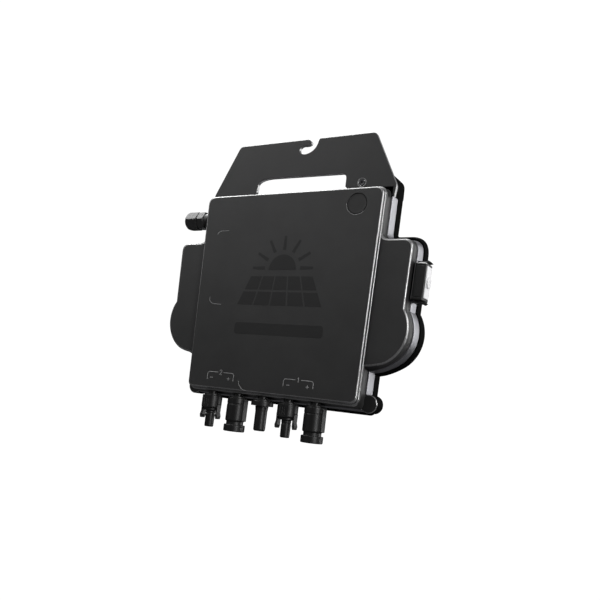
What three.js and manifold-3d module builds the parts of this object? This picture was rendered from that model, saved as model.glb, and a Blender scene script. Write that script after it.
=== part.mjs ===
// Micro inverter that hangs from a bracket, in millimetres, +Z up, front panel facing -Y.
// Sizes are given from the body's lowest edge (z = 0), its middle (x = 0) and the panel's face (y = 0).
// The finished group is moved so that the origin lies on the bracket's rear face, where a rail clamps it.
import * as THREE from 'three';
import { mergeVertices } from 'three/addons/utils/BufferGeometryUtils.js';
import Module from 'manifold-3d';

const wasm = await Module();
wasm.setup();

// ---------- driving dimensions ----------
const DEPTH = 41.2;              // panel face to the rear of the tray
const GAP = 0.3;                 // left between pieces that touch
const LOBE_CENTRE = [96.5, 74];
const TAPER = 0.0336;            // the body widens by this much per mm of height, each side
const SHOULDER_TAPER = 0.045;
const UNDERSIDE = 30;            // degrees, where a lobe's round turns into its sloping underside
const WALL = 2.6;
const RAISED = 4.2;              // how far the central panel stands in front of the lobe faces
const COVER_END = 16;
const FRAME_START = 17.3;
const FRAME_END = 30;
const TRAY_START = 30.3;
const FLOOR = 36.6;              // front of the tray's floor

const BRACKET = { front: 14.5, rear: 18, top: 258.9, foot: 204.6 };
const EAR_TOP = [90.3, 210.4];
const EAR_RADIUS = 9;
const EAR_DROP = 8.5;            // the straight part of an upper ear's sides
const LUG = { at: [95.2, 9.9], radius: 7.8, front: 17.3, rear: 31.6 };
const MOUNT = new THREE.Vector3(0, BRACKET.rear, 234);

const CONNECTOR_Y = 10.5;
const PLUG_X = [-66.5, 19.4];
const SOCKET_X = [-36.7, 47.3];
const ANTENNA_X = -8.6;
const GLAND = { y: 9.5, z: 178, wall: -97.6 };
const PORT = { z: 117.5, y0: 11, y1: 26, height: 33, reach: 11 };
const NECK = { y0: 19.4, y1: 25.2, half: 9.6 };

// the outline of each layer: lower and upper edge, half width at z = 0, shoulder, lobe and the lobe's foot,
// and its roundings: upper corner, lower corner (toe), the shoulder's outer (bend) and inner corner (nook)
const PANEL = { bottom: 8.4, top: 200.3, half: 90.4, corner: 8, toe: 5 };
const FACE = {
  bottom: 5.9, top: 199.9, half: 90.4, shoulder: 153, reach: 120.2, lobe: 33.2, foot: 40.4, corner: 8,
  toe: 5, bend: 8, nook: 11,
};
const COVER_BACK = {
  ...FACE, bottom: 4.4, top: 203, half: 91.1, shoulder: 154.6, reach: 120.5, foot: 37.6, bend: 9, nook: 10,
};
const FRAME_FRONT = {
  ...COVER_BACK, bottom: 3.6, top: 203.6, half: 91.8, shoulder: 155.2, reach: 121, lobe: 33.9, foot: 37.4,
  bend: 11, nook: 9,
};
const FRAME_BACK = { ...FRAME_FRONT, bottom: 2.4, top: 207.4, shoulder: 158, foot: 37, bend: 13, nook: 7 };
const TRAY_FRONT = {
  ...FRAME_BACK, bottom: 1, top: 209, half: 92.2, shoulder: 161.2, reach: 122, lobe: 34.9, foot: 35.7,
  bend: 17, nook: 2,
};
const TRAY_BACK = {
  ...TRAY_FRONT, bottom: 0, top: 212, shoulder: 164.4, lobe: 35.2, foot: 35.4, bend: 19,
};

// ---------- materials ----------
const paint = (color, roughness, metalness = 0) =>
  new THREE.MeshStandardMaterial({ color, roughness, metalness });
const coverBlack = () => paint(0x2e2e30, 0.5);
const trayBlack = () => paint(0x131316, 0.45);
const plasticBlack = () => paint(0x1b1b1d, 0.5);
const castMetal = () => paint(0x8d9094, 0.4, 0.9);
const steel = () => paint(0xb9bcc0, 0.35, 1);
const copper = () => paint(0xb4703a, 0.4, 1);
const ferrite = () => paint(0x3a3c40, 0.8);
const rubber = () => paint(0x18181a, 0.85);
const greyCap = () => paint(0xb4b6b8, 0.6);
const boardGreen = () => paint(0x1f5a38, 0.6);

// ---------- solids ----------
function toSolid(geometry) {
  const bare = geometry.clone();
  bare.deleteAttribute('normal');
  bare.deleteAttribute('uv');
  const merged = mergeVertices(bare, 1e-4);
  const vertProperties = new Float32Array(merged.attributes.position.array);
  const triVerts = new Uint32Array(merged.index.array);
  return new wasm.Manifold(new wasm.Mesh({ numProp: 3, vertProperties, triVerts }));
}

function toGeometry(solid) {
  const mesh = solid.getMesh();
  const geometry = new THREE.BufferGeometry();
  geometry.setAttribute('position', new THREE.BufferAttribute(new Float32Array(mesh.vertProperties), 3));
  geometry.setIndex(new THREE.BufferAttribute(new Uint32Array(mesh.triVerts), 1));
  geometry.computeVertexNormals();
  return geometry;
}

const join = (solids) => solids.reduce((sum, solid) => sum.add(solid));
const cut = (solid, cutters) => cutters.reduce((rest, cutter) => rest.subtract(cutter), solid);

function boxGeometry(low, high) {
  const size = high.map((value, i) => value - low[i]);
  const box = new THREE.BoxGeometry(...size);
  return box.translate(...low.map((value, i) => value + size[i] / 2));
}

const box = (low, high) => toSolid(boxGeometry(low, high));

// a round solid from a closed profile of [radius, distance] points, turned about an axis letter
function turned(profile, axis, at, sides = 20) {
  const geometry = new THREE.LatheGeometry(profile.map(([r, h]) => new THREE.Vector2(r, h)), sides);
  if (axis === 'x') geometry.rotateZ(-Math.PI / 2);
  if (axis === 'z') geometry.rotateX(Math.PI / 2);
  return geometry.translate(...at);
}

function rodProfile(radius, from, to) {
  return [[0, from], [radius, from], [radius, to], [0, to]];
}

const rod = (radius, from, to, axis, at, sides = 20) =>
  toSolid(turned(rodProfile(radius, from, to), axis, at, sides));

// a solid between closed outlines with equal numbers of (x, z) points, one at each depth
function loft(rings) {
  const count = rings[0].points.length;
  const positions = rings.flatMap(({ y, points }) => points.flatMap((p) => [p.x, y, p.y]));
  const faces = [];
  for (let r = 0; r + 1 < rings.length; r += 1) {
    for (let i = 0; i < count; i += 1) {
      const a = r * count + i;
      const b = r * count + ((i + 1) % count);
      faces.push(a, b + count, b, a, a + count, b + count);
    }
  }
  const last = (rings.length - 1) * count;
  for (const [a, b, c] of THREE.ShapeUtils.triangulateShape(rings[0].points, [])) faces.push(a, b, c);
  for (const [a, b, c] of THREE.ShapeUtils.triangulateShape(rings.at(-1).points, [])) {
    faces.push(last + a, last + c, last + b);
  }
  const geometry = new THREE.BufferGeometry();
  geometry.setAttribute('position', new THREE.Float32BufferAttribute(positions, 3));
  geometry.setIndex(faces);
  return toSolid(geometry);
}

// ---------- outlines ----------
function arc(cx, cz, radius, from, to, steps) {
  const points = [];
  for (let i = 0; i <= steps; i += 1) {
    const angle = THREE.MathUtils.degToRad(from + ((to - from) * i) / steps);
    points.push(new THREE.Vector2(cx + radius * Math.cos(angle), cz + radius * Math.sin(angle)));
  }
  return points;
}

function curve(start, control, end, steps = 4) {
  const v = (p) => new THREE.Vector2(...p);
  return new THREE.QuadraticBezierCurve(v(start), v(control), v(end)).getPoints(steps);
}

function mirrored(right) {
  const left = right.map((p) => new THREE.Vector2(-p.x, p.y)).reverse();
  return [...right, ...left];
}

function panelOutline(layer, inset = 0) {
  const side = (z) => layer.half + TAPER * z - inset;
  const bottom = layer.bottom + inset;
  const top = layer.top - inset;
  const { corner: r, toe } = layer;
  return mirrored([
    ...curve([side(bottom) - toe, bottom], [side(bottom), bottom], [side(bottom + toe), bottom + toe]),
    ...curve([side(top - r), top - r], [side(top), top], [side(top) - r, top]),
  ]);
}

// body outline with a square shoulder and a round lobe on each side, whose underside slopes to its foot
function bodyOutline(layer, inset = 0) {
  const side = (z) => layer.half + TAPER * z - inset;
  const outer = (z) => layer.reach + SHOULDER_TAPER * z - inset;
  const bottom = layer.bottom + inset;
  const top = layer.top - inset;
  const shoulder = layer.shoulder - inset;
  const lobe = layer.lobe - inset;
  const [cx, cz] = LOBE_CENTRE;
  const { corner: r, toe, bend, nook } = layer;
  const foot = layer.foot + inset;
  const slope = THREE.MathUtils.degToRad(UNDERSIDE);
  const tangent = [cx + lobe * Math.sin(slope), cz - lobe * Math.cos(slope)];
  const sag = foot + 1.4;
  const notch = cz + Math.sqrt(lobe ** 2 - (outer(95) - cx) ** 2);
  const meet = THREE.MathUtils.radToDeg(Math.atan2(notch - cz, outer(95) - cx));
  return mirrored([
    ...curve([side(bottom) - toe, bottom], [side(bottom), bottom], [side(bottom + toe), bottom + toe]),
    ...curve([side(foot), foot], [tangent[0] - (tangent[1] - sag) / Math.tan(slope), sag], tangent)
      .slice(0, -1),
    ...arc(cx, cz, lobe, UNDERSIDE - 90, meet, 18),
    ...curve([outer(shoulder - bend), shoulder - bend], [outer(shoulder), shoulder],
      [outer(shoulder) - bend, shoulder]),
    ...curve([side(shoulder) + nook, shoulder], [side(shoulder), shoulder],
      [side(shoulder + nook), shoulder + nook]),
    ...curve([side(top - r), top - r], [side(top), top], [side(top) - r, top]),
  ]);
}

const ring = (y, points) => ({ y, points });
const body = (y, layer, inset) => ring(y, bodyOutline(layer, inset));

// ---------- the inverter's assembly ----------
const inverter = new THREE.Group();

function place(name, geometry, material, parent = inverter) {
  const mesh = new THREE.Mesh(geometry, material);
  mesh.name = name;
  parent.add(mesh);
  return mesh;
}

const sides = [['left', -1], ['right', 1]];

// closing screws run from the rear of the tray into pillars of the front cover
const CLOSING = [[-80, 26], [80, 26], [-88, 158], [88, 158], [-116, 138], [116, 138]];
const SCREW = { head: 3.4, shaft: 1.7, tip: 14 };
const COUNTERBORE = 38.8;

function frontCover() {
  const shell = join([
    loft([ring(0, panelOutline(PANEL, 1.3)), ring(0.35, panelOutline(PANEL, 0.45)),
      ring(1.2, panelOutline(PANEL, 0)), ring(7, panelOutline(PANEL, 0))]),
    loft([body(RAISED, FACE, 1.5), body(RAISED + 0.45, FACE, 0.5), body(RAISED + 1.5, FACE, 0),
      body(COVER_END - 0.8, COVER_BACK, 0), body(COVER_END, COVER_BACK, 0.7)]),
  ]);
  const hollow = join([
    loft([ring(2.4, panelOutline(PANEL, WALL)), ring(9, panelOutline(PANEL, WALL))]),
    loft([body(RAISED + 2.4, FACE, WALL), body(COVER_END + 1, COVER_BACK, WALL)]),
  ]);
  const pillarStart = (x) => (Math.abs(x) > 100 ? RAISED + 1 : 1.5);
  const pillars = CLOSING.map(([x, z]) => rod(4, pillarStart(x), FRAME_END - 0.1, 'y', [x, 0, z], 8));
  const bores = CLOSING.map(
    ([x, z]) => rod(SCREW.shaft + 0.3, SCREW.tip - 0.6, FRAME_END + 1, 'y', [x, 0, z], 8));
  const feeds = [...PLUG_X, ...SOCKET_X, ANTENNA_X].map(
    (x) => rod(4.9, -2, 14, 'z', [x, CONNECTOR_Y, 0], 12));
  const glandHole = rod(5.3, -110, -90, 'x', [0, GLAND.y, GLAND.z]);
  const recess = rod(9.8, -1, 0.9, 'y', [71.9, 0, 185.2], 28);
  return cut(join([cut(shell, [hollow]), ...pillars]), [...bores, ...feeds, glandHole, recess]);
}

function midFrame() {
  const solid = loft([body(FRAME_START, FRAME_FRONT, 1), body(FRAME_START + 0.9, FRAME_FRONT, 0),
    body(FRAME_END - 0.9, FRAME_BACK, 0), body(FRAME_END, FRAME_BACK, 1)]);
  const hollow = loft([body(FRAME_START - 1, FRAME_FRONT, WALL + 0.6),
    body(FRAME_END + 1, FRAME_BACK, WALL + 0.6)]);
  const round = (gap, from, to) => sides.flatMap(([, s]) => [
    rod(EAR_RADIUS + gap, from, to, 'y', [s * EAR_TOP[0], 0, EAR_TOP[1]], 20),
    rod(EAR_RADIUS + gap, from, to, 'y', [s * EAR_TOP[0], 0, EAR_TOP[1] - EAR_DROP], 20),
    box([s * EAR_TOP[0] - EAR_RADIUS - gap, from, EAR_TOP[1] - EAR_DROP],
      [s * EAR_TOP[0] + EAR_RADIUS + gap, to, EAR_TOP[1]]),
    rod(LUG.radius + gap, from, to, 'y', [s * LUG.at[0], 0, LUG.at[1]], 20),
  ]);
  const ears = round(0.5, FRAME_START - 1, FRAME_END + 1);
  const corners = round(3.2, FRAME_START, FRAME_END);
  const webs = join(corners).intersect(solid);
  const portHole = box([100, NECK.y0 - 0.5, PORT.z - NECK.half - 0.6],
    [140, NECK.y1 + 0.5, PORT.z + NECK.half + 0.6]);
  return cut(cut(solid, [hollow]).add(webs), [...ears, portHole]);
}

function coverSeal() {
  const seal = (y0, y1, inset) => loft([body(y0, FRAME_FRONT, inset), body(y1, FRAME_FRONT, inset)]);
  return seal(COVER_END + 0.15, FRAME_START - 0.15, 1.7).subtract(seal(COVER_END, FRAME_START, 3));
}

// fins on the rear of the tray, left standing between shallow pockets
const FINS = { count: 11, pitch: 14, low: 34, high: 128, depth: 2.2 };
const LABEL = { low: [-38, 150], high: [38, 196], depth: 1.1 };

function rearTray() {
  const solid = loft([body(TRAY_START, TRAY_FRONT, 0.6), body(TRAY_START + 0.8, TRAY_FRONT, 0),
    body(DEPTH - 1.2, TRAY_BACK, 0), body(DEPTH, TRAY_BACK, 1.2)]);
  const hollow = loft([body(TRAY_START - 1, TRAY_FRONT, WALL), body(FLOOR, TRAY_BACK, WALL + 0.4)]);
  const ear = ([x, z], drop, radius, front, rear) => {
    const outline = (r) => [...arc(x, z, r, 0, 180, 10), ...arc(x, z - drop, r, 180, 360, 10)];
    return loft([ring(front, outline(radius - 0.8)), ring(front + 0.8, outline(radius)),
      ring(rear - 1, outline(radius)), ring(rear, outline(radius - 1))]);
  };
  const ears = sides.flatMap(([, s]) => [
    ear([s * EAR_TOP[0], EAR_TOP[1]], EAR_DROP, EAR_RADIUS, BRACKET.rear + GAP, DEPTH),
    ear([s * LUG.at[0], LUG.at[1]], 0.4, LUG.radius, LUG.front, LUG.rear),
  ]);
  const pillars = CLOSING.map(([x, z]) => rod(4, TRAY_START, FLOOR + 1, 'y', [x, 0, z], 8));
  const pockets = [];
  for (let i = 0; i < FINS.count; i += 1) {
    const x = (i - (FINS.count - 1) / 2) * FINS.pitch;
    const width = FINS.pitch / 2 - 1.6;
    pockets.push(box([x - width, DEPTH - FINS.depth, FINS.low], [x + width, DEPTH + 1, FINS.high]));
  }
  const screwHoles = CLOSING.flatMap(([x, z]) => [
    rod(SCREW.shaft + 0.3, TRAY_START - 1, DEPTH + 1, 'y', [x, 0, z], 8),
    rod(SCREW.head + 0.4, COUNTERBORE, DEPTH + 1, 'y', [x, 0, z], 12),
  ]);
  const topHoles = sides.flatMap(([, s]) => [
    rod(2.5, 0, DEPTH + 1, 'y', [s * EAR_TOP[0], 0, EAR_TOP[1]], 10),
    rod(4.7, 37.4, DEPTH + 1, 'y', [s * EAR_TOP[0], 0, EAR_TOP[1]], 14),
  ]);
  const label = box([LABEL.low[0], DEPTH - LABEL.depth, LABEL.low[1]],
    [LABEL.high[0], DEPTH + 1, LABEL.high[1]]);
  return cut(join([cut(solid, [hollow]), ...ears, ...pillars]),
    [...pockets, ...screwHoles, ...topHoles, label]);
}

function housing() {
  place('front_cover', toGeometry(frontCover()), coverBlack());
  place('cover_seal', toGeometry(coverSeal()), rubber());
  place('mid_frame', toGeometry(midFrame()), castMetal());
  place('rear_tray', toGeometry(rearTray()), trayBlack());
  place('recess_disc', turned(rodProfile(9.4, 0.3, 0.6), 'y', [71.9, 0, 185.2], 28), plasticBlack());
  const label = boxGeometry([LABEL.low[0] + 0.5, DEPTH - 0.8, LABEL.low[1] + 0.5],
    [LABEL.high[0] - 0.5, DEPTH - 0.1, LABEL.high[1] - 0.5]);
  place('rear_label', label, paint(0xb9bbbd, 0.5, 0.6));
}

// a screw driven from the rear, with a round recess in its head
function screwGeometry(headRadius, shaftRadius, headFront, headRear, tip, at) {
  const recess = headRadius * 0.45;
  const profile = [[0, tip], [shaftRadius, tip], [shaftRadius, headFront], [headRadius, headFront],
    [headRadius, headRear], [recess, headRear], [recess, headRear - 1.1], [0, headRear - 1.1]];
  return turned(profile, 'y', at, 10);
}

function screws() {
  CLOSING.forEach(([x, z], i) => {
    const geometry = screwGeometry(SCREW.head, SCREW.shaft, COUNTERBORE + 0.2, 40.8, SCREW.tip, [x, 0, z]);
    place(`closing_screw_${i + 1}`, geometry, steel());
  });
  for (const [name, s] of sides) {
    const top = screwGeometry(4.2, 2, 37.6, 40.4, BRACKET.front + 1.4, [s * EAR_TOP[0], 0, EAR_TOP[1]]);
    place(`bracket_screw_${name}`, top, steel());
  }
}

// ---------- mounting bracket ----------
const SLOPE = { top: 76.8, waist: 102.1, waistZ: 206.6 };
const HEEL = { inside: 98.9, low: 194.8 };   // a foot's outer end reaches down beside the cover
const GROUND = [67.2, 0, 210.4];

function bracketOutline() {
  const shape = new THREE.Shape();
  const { top, waist, waistZ } = SLOPE;
  const { inside, low } = HEEL;
  shape.moveTo(-inside - 2, low);
  shape.lineTo(-inside, low + 2);
  shape.lineTo(-inside, BRACKET.foot);
  shape.lineTo(-52, BRACKET.foot);
  shape.lineTo(-49.2, BRACKET.foot + 3);
  shape.lineTo(-48.8, 214.6);
  shape.quadraticCurveTo(-48.1, 220.8, -32, 221.2);
  shape.lineTo(45.8, 220.4);
  shape.quadraticCurveTo(50.3, 220.2, 50.3, 215.2);
  shape.lineTo(50.3, BRACKET.foot + 3);
  shape.lineTo(53.3, BRACKET.foot);
  shape.lineTo(inside, BRACKET.foot);
  shape.lineTo(inside, low + 2);
  shape.lineTo(inside + 2, low);
  shape.lineTo(waist, waistZ - 2);
  shape.quadraticCurveTo(waist, waistZ, waist - 1.2, waistZ + 2.6);
  shape.lineTo(top + 1.6, BRACKET.top - 3.4);
  shape.quadraticCurveTo(top, BRACKET.top, top - 3.4, BRACKET.top);
  shape.lineTo(17.6, BRACKET.top);
  shape.quadraticCurveTo(16, 258.3, 15.4, 255);
  shape.quadraticCurveTo(13.8, 249, 9.2, 246.2);
  shape.quadraticCurveTo(5.2, 243.9, 1.6, 244);
  shape.quadraticCurveTo(-4.2, 244.4, -4.3, 248.6);
  shape.quadraticCurveTo(-4, 252.2, 0.4, 252.4);
  shape.quadraticCurveTo(3.6, 251.9, 6, 252.5);
  shape.quadraticCurveTo(8.4, 253.2, 8.4, 255);
  shape.quadraticCurveTo(8, 256.8, 4.8, BRACKET.top);
  shape.lineTo(3.4 - top, BRACKET.top);
  shape.quadraticCurveTo(-top, BRACKET.top, -top - 1.6, BRACKET.top - 3.4);
  shape.lineTo(1.2 - waist, waistZ + 2.6);
  shape.quadraticCurveTo(-waist, waistZ, -waist, waistZ - 2);
  return shape;
}

function bracket() {
  const edge = 0.35;
  const plate = new THREE.ExtrudeGeometry(bracketOutline(), {
    depth: BRACKET.rear - BRACKET.front - 2 * edge, bevelThickness: edge, bevelSize: edge, bevelOffset: -edge,
    bevelSegments: 1, curveSegments: 5,
  });
  plate.rotateX(Math.PI / 2);
  plate.translate(0, BRACKET.rear - edge, 0);
  const holes = sides.map(
    ([, s]) => rod(2.3, BRACKET.front + 1.1, 20, 'y', [s * EAR_TOP[0], 0, EAR_TOP[1]], 10));
  const groundHole = rod(3.2, 10, 20, 'y', GROUND, 14);
  const drilled = cut(toSolid(plate), [...holes, groundHole]);
  place('mounting_bracket', toGeometry(drilled), paint(0x343436, 0.45, 0.6));
  const insert = [[1.6, BRACKET.front + 0.1], [2.9, BRACKET.front + 0.1], [2.9, BRACKET.rear + 1.4],
    [1.6, BRACKET.rear + 1.4], [1.6, BRACKET.front + 0.1]];
  place('ground_insert', turned(insert, 'y', GROUND, 14), steel());
}

// ---------- direct-current connectors along the lower edge ----------
const TOP = 1.6;                 // top of every connector body, just under the tray's lower edge

// a box centred in y on the connector row, given its x and z extents and half its depth
function boxPair(x0, x1, z0, z1, halfDepth, y = CONNECTOR_Y) {
  return box([Math.min(x0, x1), y - halfDepth, z0], [Math.max(x0, x1), y + halfDepth, z1]);
}

function plug(index, x) {
  const at = [x, CONNECTOR_Y, 0];
  const bodyProfile = [[0, 12], [4.5, 12], [4.5, 3.2], [8, 3.2], [8, TOP], [9.6, TOP], [9.6, -9.6],
    [8.8, -10.2], [7.2, -10.2], [7.2, -12.4], [4.3, -12.8], [4.3, -27.6], [3.8, -28.4], [1.9, -28.4],
    [1.9, -22], [0, -22]];
  const slots = sides.map(([, s]) => boxPair(x + s * 7.1, x + s * 12, -11.2, -6.4, 3.4));
  const shell = cut(toSolid(turned(bodyProfile.toReversed(), 'z', at, 18)), slots);
  const flats = [-1, 1].map((s) => boxPair(x - 12, x + 12, -12, 2, 3, CONNECTOR_Y + s * 11.6));
  place(`dc_plug_${index}_body`, toGeometry(cut(shell, flats)), plasticBlack());
  for (const [name, s] of sides) place(`dc_plug_${index}_latch_${name}`, latchArm(x, s), plasticBlack());
}

// a thin arm with a barbed end that springs towards the middle of the plug
const LATCH = {
  width: 6,
  outline: [[7.9, -6.8], [9.7, -6.8], [9.5, -14], [10.6, -17.6], [10, -20.4], [8.6, -20.6], [7.7, -17.6]],
};

function latchArm(x, s) {
  const shape = new THREE.Shape(LATCH.outline.map(([px, pz]) => new THREE.Vector2(x + s * px, pz)));
  const arm = new THREE.ExtrudeGeometry(shape, { depth: LATCH.width, bevelEnabled: false });
  arm.rotateX(Math.PI / 2);
  return arm.translate(0, CONNECTOR_Y + LATCH.width / 2, 0);
}

function socket(index, x) {
  const at = [x, CONNECTOR_Y, 0];
  const bodyProfile = [[0, 12], [4.5, 12], [4.5, 3.2], [8.2, 3.2], [8.2, TOP], [9.4, TOP], [9.4, -19],
    [8.9, -20], [8.1, -20], [8.1, -23.4], [10, -23.4], [10, -29], [9.5, -29.6], [6.4, -29.6], [6.4, -9],
    [0, -9]];
  const shell = toSolid(turned(bodyProfile.toReversed(), 'z', at, 20));
  const rail = boxPair(x + 4, x + 10.3, -19.6, TOP, 3.6);
  const windows = sides.map(([, s]) => boxPair(x + s * 8.7, x + s * 12, -27.6, -25, 3.4));
  const bore = rod(6.4, -40, -9, 'z', at, 20);
  place(`dc_socket_${index}_body`, toGeometry(cut(shell.add(rail), [bore, ...windows])), plasticBlack());
  const pin = [[0, -9.3], [4, -9.3], [4, -11], [1.9, -11], [1.9, -20], [1.2, -21.6], [0, -21.6]];
  place(`dc_socket_${index}_contact`, turned(pin.toReversed(), 'z', at, 10), steel());
}

function antenna() {
  const at = [ANTENNA_X, CONNECTOR_Y, 0];
  const base = [[0, 12], [4.5, 12], [4.5, 3.2], [9, 3.2], [9, TOP], [10.4, TOP], [10.4, -3], [0, -3]];
  place('antenna_base', turned(base.toReversed(), 'z', at, 18), plasticBlack());
  const sleeve = [[0, -3.3], [6, -3.3], [5.6, -24.8], [4.8, -25.8], [0, -25.8]];
  place('antenna_sleeve', turned(sleeve.toReversed(), 'z', at, 18), plasticBlack());
}

// ---------- cable gland on the left ----------
function hexProfile(across, from, to, domed) {
  const solid = rod(across / Math.sqrt(3), from, to, 'x', [0, GLAND.y, GLAND.z], 6);
  if (!domed) return solid;
  const round = turned([[0, from], [across * 0.42, from], [across * 0.53, from + 2.2],
    [across * 0.57, from + 4.4], [across * 0.57, to], [0, to]], 'x', [0, GLAND.y, GLAND.z], 18);
  return solid.intersect(toSolid(round));
}

function gland() {
  const at = [0, GLAND.y, GLAND.z];
  const wall = GLAND.wall;
  const thread = (radius, from, to) => rod(radius, from, to, 'x', at, 16);
  const collar = thread(7.6, wall - 5.6, wall - 0.3);
  const body = join([thread(5, -113, wall + 8.2), collar, hexProfile(16.6, -111, wall - 5.4, false),
    thread(6.2, -118.6, -110)]);
  place('gland_body', toGeometry(body.subtract(thread(3.4, -125, -86))), plasticBlack());
  const nut = hexProfile(17.2, -127.2, -111.8, true);
  const bores = [thread(6.5, -121.8, -105), thread(4, -140, -115)];
  place('gland_nut', toGeometry(cut(nut, bores)), plasticBlack());
  const seal = turned([[3.6, -121.4], [6, -121.4], [6, -118.9], [3.6, -118.9], [3.6, -121.4]], 'x', at, 14);
  place('gland_seal', seal, rubber());
  const plugProfile = [[0, -126.4], [3.1, -126.4], [3.1, -104], [0, -104]];
  place('gland_blanking_pin', turned(plugProfile, 'x', at, 10), rubber());
  const locknut = rod(6.8, wall + WALL + 1.8, wall + WALL + 5, 'x', at, 6).subtract(thread(5.3, -110, -80));
  place('gland_locknut', toGeometry(locknut), plasticBlack());
}

// ---------- alternating-current port on the right shoulder, tilted to follow its wall ----------
function acPort() {
  const port = new THREE.Group();
  port.position.set(FRAME_FRONT.reach + SHOULDER_TAPER * PORT.z + 0.4, 0, PORT.z);
  port.rotation.y = Math.atan(SHOULDER_TAPER);
  inverter.add(port);
  const half = PORT.height / 2;
  const shell = box([0, PORT.y0, -half], [PORT.reach, PORT.y1, half]);
  const neck = box([-7, NECK.y0, -NECK.half], [1, NECK.y1, NECK.half]);
  const cavity = box([2, PORT.y0 + 2, 2 - half], [PORT.reach + 1, PORT.y1 - 2, half - 2]);
  place('ac_port_housing', toGeometry(join([cut(shell, [cavity]), neck])), plasticBlack(), port);
  const seal = box([2.3, PORT.y0 + 2.3, 2.3 - half], [3.7, PORT.y1 - 2.3, half - 2.3]);
  const sealHole = box([2, PORT.y0 + 4.6, 4.6 - half], [5, PORT.y1 - 4.6, half - 4.6]);
  place('ac_port_seal', toGeometry(seal.subtract(sealHole)), rubber(), port);
  const middle = (PORT.y0 + PORT.y1) / 2;
  const lid = box([7, PORT.y0 + 2.4, 2.4 - half], [PORT.reach + 0.6, PORT.y1 - 2.4, half - 2.4]);
  const knobEnd = PORT.reach + 2;
  const knob = toSolid(turned([[0, 8], [4.9, 8], [4.9, knobEnd - 0.7], [4.2, knobEnd], [0, knobEnd]],
    'x', [0, middle, 0], 20));
  place('ac_port_cap', toGeometry(lid.add(knob)), greyCap(), port);
  for (const [name, s] of [['lower', -1], ['upper', 1]]) {
    place(`ac_port_latch_${name}`, portLatch(s, half), plasticBlack(), port);
  }
  for (let i = -1; i <= 1; i += 1) {
    const at = [0, (NECK.y0 + NECK.y1) / 2, i * 5.6];
    const pin = turned([[0, -12], [1.2, -12], [1.2, -7.3], [0, -7.3]], 'x', at, 8);
    place(`ac_contact_${i + 2}`, pin, copper(), port);
  }
}

// a hook along the end of the port, with its barb turned outwards
function portLatch(s, half) {
  const { reach } = PORT;
  const shape = new THREE.Shape();
  shape.moveTo(1, s * (half + GAP));
  shape.lineTo(reach - 0.6, s * (half + GAP));
  shape.lineTo(reach + 1.8, s * (half + 1));
  shape.lineTo(reach - 0.4, s * (half + 2.8));
  shape.lineTo(reach - 1.4, s * (half + 1.8));
  shape.lineTo(1, s * (half + 1.8));
  const depth = 8;
  const latch = new THREE.ExtrudeGeometry(shape, { depth, bevelEnabled: false });
  latch.rotateX(Math.PI / 2);
  return latch.translate(0, PORT.y1 - 3, 0);
}

// ---------- electronics inside ----------
const boxAt = (at, low, high) => box(
  [at[0] + low[0], low[1], at[2] + low[2]],
  [at[0] + high[0], high[1], at[2] + high[2]]);

function electronics() {
  const boardFront = 32;
  const outline = {
    ...FACE, top: 190.5, bottom: 20, half: 82.5, shoulder: 146, reach: 114, lobe: 27, foot: 46.5,
  };
  const notch = CLOSING.map(([x, z]) => rod(5.2, 20, 40, 'y', [x, 0, z], 8));
  const board = loft([body(boardFront, outline, 0), body(boardFront + 1.6, outline, 0)]);
  place('circuit_board', toGeometry(cut(board, notch)), boardGreen());
  const spreader = loft([ring(2.7, panelOutline(PANEL, 9)), ring(4.4, panelOutline(PANEL, 9))]);
  const clear = CLOSING.map(([x, z]) => rod(5, 0, 9, 'y', [x, 0, z], 8));
  place('heat_spreader', toGeometry(cut(spreader, clear)), paint(0xa9acb0, 0.4, 1));
  for (const [name, s] of sides) {
    const at = [s * 91, 0, 72];
    const core = toSolid(turned([[0, 8.2], [26, 8.2], [26, 31.7], [0, 31.7]], 'y', at, 18));
    const window = toSolid(turned([[12, 11], [22.6, 11], [22.6, 29], [12, 29], [12, 11]], 'y', at, 18));
    const mouth = boxAt(at, [-9, 11, 20], [9, 29, 30]);
    place(`transformer_core_${name}`, toGeometry(cut(core, [window, mouth])), ferrite());
    const coil = turned([[12.4, 11.4], [22.2, 11.4], [22.2, 28.6], [12.4, 28.6], [12.4, 11.4]], 'y', at, 18);
    place(`transformer_coil_${name}`, coil, copper());
  }
  for (let i = 0; i < 4; i += 1) {
    const profile = [[0, 9.2], [8.2, 9.2], [9, 10], [9, 31.7], [0, 31.7]];
    const can = turned(profile, 'y', [-39 + 26 * i, 0, 164], 14);
    place(`capacitor_${i + 1}`, can, paint(0x2a3550, 0.4, 0.2));
  }
  place('relay', boxGeometry([-30, 16, 112], [-2, 31.7, 132]), paint(0x23252a, 0.4));
  const choke = turned([[6, 18], [14, 18], [14, 31.7], [6, 31.7], [6, 18]], 'y', [26, 0, 120], 16);
  place('filter_choke', choke, copper());
  place('radio_board', boxGeometry([-24, 28, 30], [8, 29.2, 62]), boardGreen());
  place('radio_board_header', boxGeometry([-22, 29.5, 32], [6, 31.7, 35]), plasticBlack());
}

housing();
screws();
bracket();
PLUG_X.forEach((x, i) => plug(i + 1, x));
SOCKET_X.forEach((x, i) => socket(i + 1, x));
antenna();
gland();
acPort();
electronics();

inverter.position.copy(MOUNT).negate();
export default inverter;
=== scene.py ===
import math

import bmesh
import bpy
from mathutils import Matrix, Vector


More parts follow.
